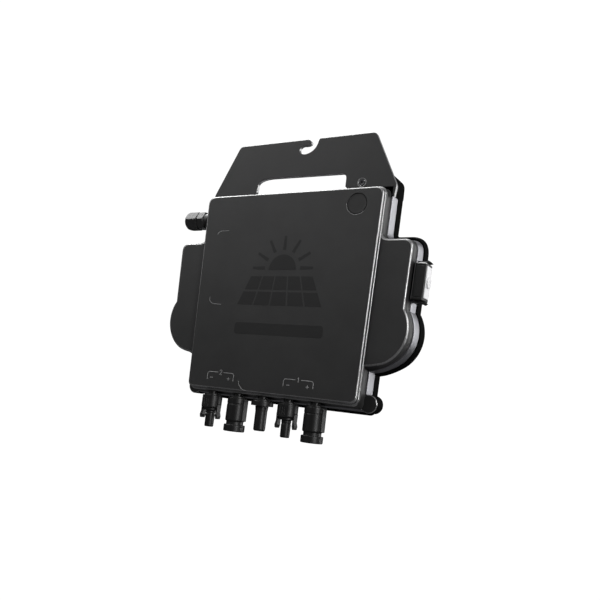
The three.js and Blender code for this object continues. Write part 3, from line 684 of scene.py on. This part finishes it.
def screw(name, place, head, height, shaft, tip, node):
    """A screw along Y with a six-sided socket in its head, which faces +Y."""
    centre, pitch = (0, 0, 0), 0.8
    profile = filleted([(0, 0), (head, 0), (head, height), (0, height)], head * 0.22, 4)
    made = turned(profile, "y", centre, 48)
    thread = [(0, 0.2), *threads(shaft, 0.25, 0, -pitch, int(tip / pitch)), (shaft * 0.6, -tip), (0, -tip)]
    made = join(made, turned(thread, "y", centre, 32))
    made = cut(made, rod(head * 0.52, height - head * 0.4, height + 1, "y", centre, 6))
    piece(made, name, ZINC, replaces=[node], turn=Matrix.Translation(place))


for number, (x, z) in enumerate(CLOSING, 1):
    screw(f"closing_bolt_{number}", (x, 39, z), 3.4, 1.8, 1.7, 25, f"closing_screw_{number}")
for side, s in (("left", -1), ("right", 1)):
    place = (s * EAR_TOP[0], 37.6, EAR_TOP[1])
    screw(f"bracket_bolt_{side}", place, 4.2, 2.8, 2, 21.7, f"bracket_screw_{side}")

# ---------- mounting bracket ----------
TOP, FOOT = 258.9, 204.6
WAIST, WAIST_Z = 102.1, 206.6  # where each side turns inwards into its slope
SLOPE_TOP = 76.8  # how far from the middle the slopes end
HEEL, HEEL_LOW = 98.9, 194.8  # a foot's outer end reaches down beside the cover
GROUND = (67.2, 210.4)


def flowing(parts):
    """One outline from points and (control, end) curves."""
    points = []
    for part in parts:
        if isinstance(part[0], tuple):
            points += bezier(points[-1], part[0], part[1], 8)[1:]
        else:
            points.append(part)
    return points


LEFT_FOOT = [(-HEEL - 2, HEEL_LOW), (-HEEL, HEEL_LOW + 2), (-HEEL, FOOT), (-52, FOOT), (-49.2, FOOT + 3)]
WINDOW = [(-48.8, 214.6), ((-48.1, 220.8), (-32, 221.2)), (45.8, 220.4), ((50.3, 220.2), (50.3, 215.2)),
          (50.3, FOOT + 3)]
RIGHT_FOOT = [(53.3, FOOT), (HEEL, FOOT), (HEEL, HEEL_LOW + 2), (HEEL + 2, HEEL_LOW)]
RIGHT_SIDE = [(WAIST, WAIST_Z - 2), ((WAIST, WAIST_Z), (WAIST - 1.2, WAIST_Z + 2.6)),
              (SLOPE_TOP + 1.6, TOP - 3.4), ((SLOPE_TOP, TOP), (SLOPE_TOP - 3.4, TOP))]
HOOK = [(17.6, TOP), ((16, 258.3), (15.4, 255)), ((13.8, 249), (9.2, 246.2)), ((5.2, 243.9), (1.6, 244)),
        ((-4.2, 244.4), (-4.3, 248.6)), ((-4, 252.2), (0.4, 252.4)), ((3.6, 251.9), (6, 252.5)),
        ((8.4, 253.2), (8.4, 255)), ((8, 256.8), (4.8, TOP))]
LEFT_SIDE = [(3.4 - SLOPE_TOP, TOP), ((-SLOPE_TOP, TOP), (-SLOPE_TOP - 1.6, TOP - 3.4)),
             (1.2 - WAIST, WAIST_Z + 2.6), ((-WAIST, WAIST_Z), (-WAIST, WAIST_Z - 2))]


def bracket_highlight_faces(centre, normal):
    """The cut edge all round, which gets a bright metallic painted highlight, but for the feet's lower edges,
    which lie in the dark above the panel.
    """
    return abs(normal.y) < 0.9 and (centre.z > FOOT + 1 or abs(centre.x) > HEEL + 1)


outline = flowing([*LEFT_FOOT, *WINDOW, *RIGHT_FOOT, *RIGHT_SIDE, *HOOK, *LEFT_SIDE])
sheet = plate(outline, BRACKET_FRONT, BRACKET_REAR, 0.5, holes=[circle(*GROUND, 3.2, 40)])
blind = [rod(2.3, BRACKET_FRONT + 1.1, 20, "y", (s * EAR_TOP[0], 0, EAR_TOP[1]), 24) for s in (-1, 1)]
piece(cut(sheet, *blind), "bracket_plate", PLATE, replaces=["mounting_bracket"],
      special=[(PLATE_RIM_HIGHLIGHT, bracket_highlight_faces)])


# ---------- printed and moulded marks, and light lines that paint highlights on rims and corners ---
def stroke(name, points, y, width=0.5, height=0.12, closed=False):
    """A thin raised line along (x, z) points, just proud of the surface at y that faces -Y, in a light grey
    used both for moulded marks and for painted highlights on rims and corners.
    """
    sunk = y + 0.04
    path = [Vector(point) for point in points]
    rows = []
    bm = bmesh.new()
    for i, point in enumerate(path):
        before = path[i - 1] if closed or i else point
        after = path[(i + 1) % len(path)] if closed or i < len(path) - 1 else point
        along = (after - before).normalized()
        aside = Vector((-along.y, along.x)) * width / 2
        row = []
        for share, depth in ((1, sunk), (0.5, y - height), (-0.5, y - height), (-1, sunk)):
            spot = point + aside * share
            row.append(bm.verts.new((spot.x, depth, spot.y)))
        rows.append(row)
    pairs = list(zip(rows, rows[1:]))
    if closed:
        pairs.append((rows[-1], rows[0]))
    bridge(bm, pairs)
    if not closed:
        bm.faces.new(rows[0])
        bm.faces.new(rows[-1])
    piece(keep(bm), name, MARK_AND_HIGHLIGHT)


def port_mark(index, left, right, top, drop, digit_x, digit):
    """Two half brackets over a pair of connectors, with a number between them and the poles' signs below."""
    gap, bend, signs = 3.2, 2.5, top - 5.4
    minus, plus, arm = left + 5, right - 5.6, 1.6
    left_bend = bezier((left, top - bend), (left + 0.1, top), (left + bend, top), 5)
    right_bend = bezier((right - bend, top), (right - 0.1, top), (right, top - bend), 5)
    stroke(f"port_{index}_line_left", [(left, top - drop), *left_bend, (digit_x - gap, top)], 0)
    stroke(f"port_{index}_line_right", [(digit_x + gap, top), *right_bend, (right, top - drop)], 0)
    stroke(f"port_{index}_digit", [(digit_x + x, top + z) for x, z in digit], 0, 0.55)
    stroke(f"port_{index}_minus", [(minus - arm, signs), (minus + arm, signs)], 0)
    stroke(f"port_{index}_plus_flat", [(plus - arm, signs), (plus + arm, signs)], 0)
    stroke(f"port_{index}_plus_tall", [(plus, signs - arm), (plus, signs + arm)], 0, 0.5, 0.1)


ONE = [(-1.1, 1.3), (0, 2.3), (0, -2.3)]
TWO = [(-1.3, 1.2), (-0.8, 2.1), (0.2, 2.3), (1.1, 1.7), (1.1, 0.7), (-1.3, -2.2), (1.4, -2.2)]
port_mark(2, -68.2, -37.6, 23.8, 7.4, -52.8, TWO)
port_mark(1, 17.7, 48.4, 23.6, 6.6, 32.9, ONE)
# light lines at two corners of a label recess: painted highlights where those corners catch the light
upper_bend = bezier((-79.6, 160.6), (-78.4, 163.7), (-74.6, 163.8), 8)
stroke("label_corner_painted_highlight_upper", [*upper_bend, (-66.3, 163.9)], 0, 0.4)
lower_bend = bezier((-78.4, 94.5), (-77.6, 90.3), (-71.5, 89.8), 8)
stroke("label_corner_painted_highlight_lower", [(-78.5, 96.5), *lower_bend, (-63.7, 89.5)], 0, 0.4)
# a light arc round the lower left of a second round recess, which is not built: a painted highlight of its
# rim
stroke("recess_arc_painted_highlight", arc(-21.8, 19.1, 9.8, 188, 272, 24), 0, 0.35)
# a light arc along the lower left of the recess's rim: a painted highlight
stroke("recess_edge_painted_highlight", arc(*RECESS, 10.35, 178, 318, 40), 0.02, 0.32, 0.1)
# a light ring round the ground insert: a painted highlight of its rim
stroke("earth_ring_painted_highlight", circle(*GROUND, 4.2, 48), BRACKET_FRONT, 0.45, 0.12, closed=True)

# ---------- tone-on-tone emblem: a sun over a module grid, and a plain bar under it ----------
SUN = (1.5, 124)
SUN_RADIUS, RAY_START, RAY_END, RAY_SPREAD = 15, 19.5, 33, 5
GRID_TOP, GRID_ROW, GRID_COLUMNS = 119, 15, 5
GRID_HALF, GRID_LEAN = 34, 0.45  # the grid's half width at its top, and how it widens downwards
INK_FRONT, INK_BACK = -0.07, 0.03

piece(plate(arc(*SUN, SUN_RADIUS, 0, 180, 40), INK_FRONT, INK_BACK), "emblem_sun", EMBLEM)
for number in range(7):
    lift = 2 if number in (0, 6) else 0  # the two level rays stay clear of the grid
    ray = []
    for radius, turn_away in ((RAY_START, -1), (RAY_END, -0.45), (RAY_END, 0.45), (RAY_START, 1)):
        angle = math.radians(30 * number + RAY_SPREAD * turn_away)
        ray.append((SUN[0] + radius * math.cos(angle), SUN[1] + radius * math.sin(angle) + lift))
    piece(plate(ray, INK_FRONT, INK_BACK), f"emblem_ray_{number + 1}", EMBLEM)


def grid_point(row, column):
    z = GRID_TOP - row * GRID_ROW
    half = GRID_HALF + (GRID_TOP - z) * GRID_LEAN
    return SUN[0] + half * (2 * column / GRID_COLUMNS - 1), z


CELL = [(0.07, 0.05), (0.93, 0.05), (0.93, 0.95), (0.07, 0.95)]  # its corners, leaving a gap to the next one
for row in range(2):
    for column in range(GRID_COLUMNS):
        cell = [grid_point(row + down, column + along) for down, along in CELL]
        piece(plate(cell, INK_FRONT, INK_BACK), f"emblem_cell_{row + 1}_{column + 1}", EMBLEM)
piece(plate(rounded_box(-44, 52, 62, 73, 3), INK_FRONT, INK_BACK), "emblem_bar", EMBLEM)

# ---------- direct-current connectors ----------
FLANGE = 1.6  # top of every connector, just under the tray's edge


def along_row(x0, x1, z0, z1, half, y=CONNECTOR_Y, fillet=0.0):
    """A block between two places along the row of connectors, as deep as twice half."""
    return block((min(x0, x1), y - half, z0), (max(x0, x1), y + half, z1), fillet)


def upper_end(radius):
    """How every connector's profile starts: its neck in the housing, and the top of its body."""
    return [(0, 12), (4.5, 12), (4.5, 3.2), (radius, 3.2), (radius, FLANGE)]


for number, x in enumerate(PLUG_X, 1):
    profile = filleted([*upper_end(8), (9.6, FLANGE), (9.6, -9.4), (8.8, -10.2), (7.2, -10.4), (7.2, -12.4),
                        (4.5, -12.9), (4.5, -15), (4.2, -15.3), (4.2, -16.2), (4.5, -16.5), (4.3, -27.6),
                        (3.8, -28.4), (1.9, -28.4), (1.9, -22), (0, -22)], 0.35)
    barrel = turned(profile, "z", (x, CONNECTOR_Y, 0))
    cuts = [along_row(x + s * 7.1, x + s * 12, -11.2, -6.4, 3.4) for s in (-1, 1)]
    cuts += [along_row(x - 12, x + 12, -12, 2, 3, CONNECTOR_Y + s * 11.6) for s in (-1, 1)]
    for groove in (x - 2.6, x - 0.4, x + 1.8):
        cuts.append(along_row(groove, groove + 0.8, -8.2, -1.2, 0.4, CONNECTOR_Y - 8.6))
    piece(cut(barrel, *cuts), f"plug_barrel_{number}", MOULDED, replaces=[f"dc_plug_{number}_body"])

for number, x in enumerate(SOCKET_X, 1):
    at = (x, CONNECTOR_Y, 0)
    profile = filleted([*upper_end(8.2), (9.4, FLANGE), (9.4, -3.4), (9.1, -3.7), (9.1, -4.5), (9.4, -4.8),
                        (9.4, -19), (8.9, -20), (8.1, -20.2), (8.1, -23.2), (10, -23.4), (10, -29),
                        (9.5, -29.6), (6.9, -29.6), (6.4, -29), (6.4, -9), (0, -9)], 0.35)
    barrel = join(turned(profile, "z", at, 64), along_row(x + 4, x + 10.3, -19.6, FLANGE, 3.6, fillet=0.6))
    cuts = [rod(6.4, -40, -9, "z", at)]
    cuts += [along_row(x + s * 8.7, x + s * 12, -27.6, -25, 3.4) for s in (-1, 1)]
    piece(cut(barrel, *cuts), f"socket_barrel_{number}", MOULDED, replaces=[f"dc_socket_{number}_body"])

at = (ANTENNA_X, CONNECTOR_Y, 0)
profile = filleted([*upper_end(9), (10.4, FLANGE), (10.4, -3), (0, -3)], 0.4)
piece(turned(profile, "z", at), "antenna_foot", MOULDED, replaces=["antenna_base"])
profile = filleted([(0, -2.8), (6.1, -2.8), (6.1, -4.6), (5.85, -4.9), (5.8, -7), (5.6, -7.2), (5.55, -24.4),
                    (4.8, -25.8), (0, -25.8)], 0.4)
grooves = [along_row(x - 0.5, x + 0.1, -16, -7.6, 0.3, CONNECTOR_Y - 5.8)
           for x in (ANTENNA_X - 2.4, ANTENNA_X, ANTENNA_X + 2.4)]
piece(cut(turned(profile, "z", at), *grooves), "antenna_rod", MOULDED, replaces=["antenna_sleeve"])


# ---------- cable gland ----------
GLAND_AT = (0, GLAND_Y, GLAND_Z)
GLAND_WALL = -97.6  # where the body's left side is at the gland's height
HEX_WIDTH, HEX_OUTER, HEX_INNER = 16.6, -111, GLAND_WALL - 5.4
NUT_WIDTH, NUT_OUTER, NUT_INNER = 17.2, -127.2, -111.8


def hexagon(width, outer, inner):
    return rod(width / math.sqrt(3), outer, inner, "x", GLAND_AT, 6)


collar = turned(filleted([(0, GLAND_WALL - 5.8), (7.2, GLAND_WALL - 5.8), (7.6, GLAND_WALL - 5.4),
                          (7.6, GLAND_WALL - 0.3), (0, GLAND_WALL - 0.3)], 0.4), "x", GLAND_AT)
core = rod(5, -112, GLAND_WALL + 8.2, "x", GLAND_AT, 40)
chamfer = turned([(0, HEX_OUTER), (HEX_WIDTH * 0.515, HEX_OUTER), (HEX_WIDTH * 0.565, HEX_OUTER + 0.9),
                  (HEX_WIDTH * 0.565, HEX_INNER - 0.9), (HEX_WIDTH * 0.515, HEX_INNER), (0, HEX_INNER)],
                 "x", GLAND_AT, 64)
grip = combine(hexagon(HEX_WIDTH, HEX_OUTER, HEX_INNER), [chamfer], "INTERSECT")
thread = turned([(0, -118.6), *threads(6.2, 0.45, -118.5, 1.3, 6), (6.2, -110.6), (0, -110.6)],
                "x", GLAND_AT, 48)
bore = rod(3.4, -125, -86, "x", GLAND_AT, 32)
piece(cut(join(collar, core, grip, thread), bore), "gland_shank", GLAND, replaces=["gland_body"])

dome = turned(filleted([(0, NUT_OUTER), (NUT_WIDTH * 0.42, NUT_OUTER), (NUT_WIDTH * 0.53, NUT_OUTER + 2.2),
                        (NUT_WIDTH * 0.57, NUT_OUTER + 4.4), (NUT_WIDTH * 0.57, NUT_INNER - 0.8),
                        (NUT_WIDTH * 0.54, NUT_INNER), (0, NUT_INNER)], 0.6, 4), "x", GLAND_AT, 64)
nut = combine(hexagon(NUT_WIDTH, NUT_OUTER, NUT_INNER), [dome], "INTERSECT")
nut = cut(nut, rod(6.5, -121.8, -105, "x", GLAND_AT, 40), rod(4, -140, -115, "x", GLAND_AT, 40))
piece(nut, "gland_cap_nut", GLAND, body="gland_nut", replaces=["gland_nut"])

# ---------- alternating-current port, tilted with the shoulder's wall ----------
PORT_X, PORT_Z = 126.69, 117.5
PORT_FRONT, PORT_BACK, PORT_HALF, PORT_REACH = 11, 26, 16.5, 11
PORT_MIDDLE = (PORT_FRONT + PORT_BACK) / 2
PORT_TURN = Matrix.Translation((PORT_X, 0, PORT_Z)) @ Matrix.Rotation(math.atan(SHOULDER_TAPER), 4, "Y")


def port_highlight_faces(centre, normal):
    """The front edge of the port's frame, where it is next to the body and at its upper end, which gets the
    bracket's bright painted highlight.
    """
    front = centre.y < PORT_FRONT + 1.2 and -0.97 < normal.y < -0.1
    return front and (centre.x < 1.2 or centre.z > PORT_HALF - 1.2)


def port_block(x0, x1, inset, fillet=0.0):
    half = PORT_HALF - inset
    return block((x0, PORT_FRONT + inset, -half), (x1, PORT_BACK - inset, half), fillet)


grooves = [block((2, PORT_FRONT - 1, z - 0.35), (9, PORT_FRONT + 0.35, z + 0.35)) for z in (-13.8, 13.8)]
frame_block = cut(port_block(0, PORT_REACH, 0, 1.1), port_block(2, PORT_REACH + 1, 2), *grooves)
neck = block((-7, 19.4, -9.6), (1, 25.2, 9.6))
piece(join(frame_block, neck), "port_frame", MOULDED, replaces=["ac_port_housing"], turn=PORT_TURN,
      special=[(PLATE_RIM_HIGHLIGHT, port_highlight_faces)])

KNOB_END, KNOB_RADIUS, GRIP_COUNT = PORT_REACH + 2, 4.9, 12
knob = turned(filleted([(0, 8), (KNOB_RADIUS, 8), (KNOB_RADIUS, KNOB_END), (1.9, KNOB_END),
                        (1.5, KNOB_END - 0.5), (0, KNOB_END - 0.5)], 0.5), "x", (0, PORT_MIDDLE, 0), 64)
grips = []
for index in range(GRIP_COUNT):
    angle = math.tau * index / GRIP_COUNT
    at = (0, PORT_MIDDLE + (KNOB_RADIUS + 0.1) * math.cos(angle), (KNOB_RADIUS + 0.1) * math.sin(angle))
    grips.append(rod(0.45, PORT_REACH + 0.9, PORT_REACH + 4, "x", at, 12))
lid = join(port_block(7, PORT_REACH + 0.6, 2.4, 0.5), knob)
piece(cut(lid, *grips), "port_lid", LID, body="ac_port_cap", replaces=["ac_port_cap"], turn=PORT_TURN)


# ---------- studio ----------
BACKDROP_GLOW = 1.05  # the floor and the world as the camera sees them, white without a horizon
FLOOR_Z = -0.9
FLOOR_HALF = 30
# the world's light from below, from the level and from above
LOW_LIGHT, LEVEL_LIGHT, HIGH_LIGHT = (0.012, 0.012, 0.013, 1), (0.03, 0.03, 0.031, 1), (0.3, 0.3, 0.31, 1)


def floor_finish():
    """A pale floor, lit evenly where it is seen and dim in the object's reflections."""
    material = bpy.data.materials.new("floor_pale")
    material.use_nodes = True
    nodes, links = material.node_tree.nodes, material.node_tree.links
    nodes.clear()
    lit = nodes.new("ShaderNodeEmission")
    lit.inputs["Strength"].default_value = BACKDROP_GLOW
    dim = nodes.new("ShaderNodeBsdfDiffuse")
    dim.inputs["Color"].default_value = (0.08, 0.08, 0.082, 1)
    choose = nodes.new("ShaderNodeMixShader")
    links.new(nodes.new("ShaderNodeLightPath").outputs["Is Camera Ray"], choose.inputs[0])
    links.new(dim.outputs[0], choose.inputs[1])
    links.new(lit.outputs[0], choose.inputs[2])
    links.new(choose.outputs[0], nodes.new("ShaderNodeOutputMaterial").inputs[0])
    return material


floor_mesh = bpy.data.meshes.new("floor")
corners = [(-FLOOR_HALF, -FLOOR_HALF, 0), (FLOOR_HALF, -FLOOR_HALF, 0), (FLOOR_HALF, FLOOR_HALF, 0),
           (-FLOOR_HALF, FLOOR_HALF, 0)]
floor_mesh.from_pydata(corners, [], [(0, 1, 2, 3)])
floor_mesh.materials.append(floor_finish())
floor = bpy.data.objects.new("floor", floor_mesh)
floor.location = (0, 0, FLOOR_Z)
bpy.context.scene.collection.objects.link(floor)

world = bpy.data.worlds.new("studio")
bpy.context.scene.world = world
world.use_nodes = True
nodes, links = world.node_tree.nodes, world.node_tree.links
nodes.clear()
height = nodes.new("ShaderNodeSeparateXYZ")
links.new(nodes.new("ShaderNodeTexCoord").outputs["Generated"], height.inputs[0])
lift = nodes.new("ShaderNodeMapRange")
lift.inputs["From Min"].default_value = -1
lift.inputs["From Max"].default_value = 1
links.new(height.outputs["Z"], lift.inputs["Value"])
ramp = nodes.new("ShaderNodeValToRGB")
links.new(lift.outputs[0], ramp.inputs[0])
ramp.color_ramp.elements[0].position, ramp.color_ramp.elements[0].color = 0.3, LOW_LIGHT
ramp.color_ramp.elements[1].position, ramp.color_ramp.elements[1].color = 0.85, HIGH_LIGHT
ramp.color_ramp.elements.new(0.5).color = LEVEL_LIGHT
felt = nodes.new("ShaderNodeBackground")
links.new(ramp.outputs[0], felt.inputs["Color"])
seen = nodes.new("ShaderNodeBackground")
seen.inputs["Color"].default_value = (1, 1, 1, 1)
seen.inputs["Strength"].default_value = BACKDROP_GLOW
choose = nodes.new("ShaderNodeMixShader")
links.new(nodes.new("ShaderNodeLightPath").outputs["Is Camera Ray"], choose.inputs[0])
links.new(felt.outputs[0], choose.inputs[1])
links.new(seen.outputs[0], choose.inputs[2])
links.new(choose.outputs[0], nodes.new("ShaderNodeOutputWorld").inputs[0])

CENTRE = Vector((0, 0, -0.12))  # the object's middle, which every lamp faces


def softbox(name, place, size, power):
    data = bpy.data.lights.new(name, "AREA")
    data.shape = "RECTANGLE"
    data.size, data.size_y = size
    data.energy = power
    lamp = bpy.data.objects.new(name, data)
    lamp.location = place
    lamp.rotation_euler = (CENTRE - Vector(place)).to_track_quat("-Z", "Y").to_euler()
    bpy.context.scene.collection.objects.link(lamp)


softbox("side_box", (1.0, 1.05, 0.1), (0.5, 1.2), 8)
softbox("rim_box", (1.7, -0.95, 0.35), (0.5, 1.4), 26)
softbox("top_box", (-0.65, 0.1, 1.1), (1.0, 1.2), 28)
softbox("front_box", (-1.3, -1.5, 0.9), (1.6, 1.2), 9)
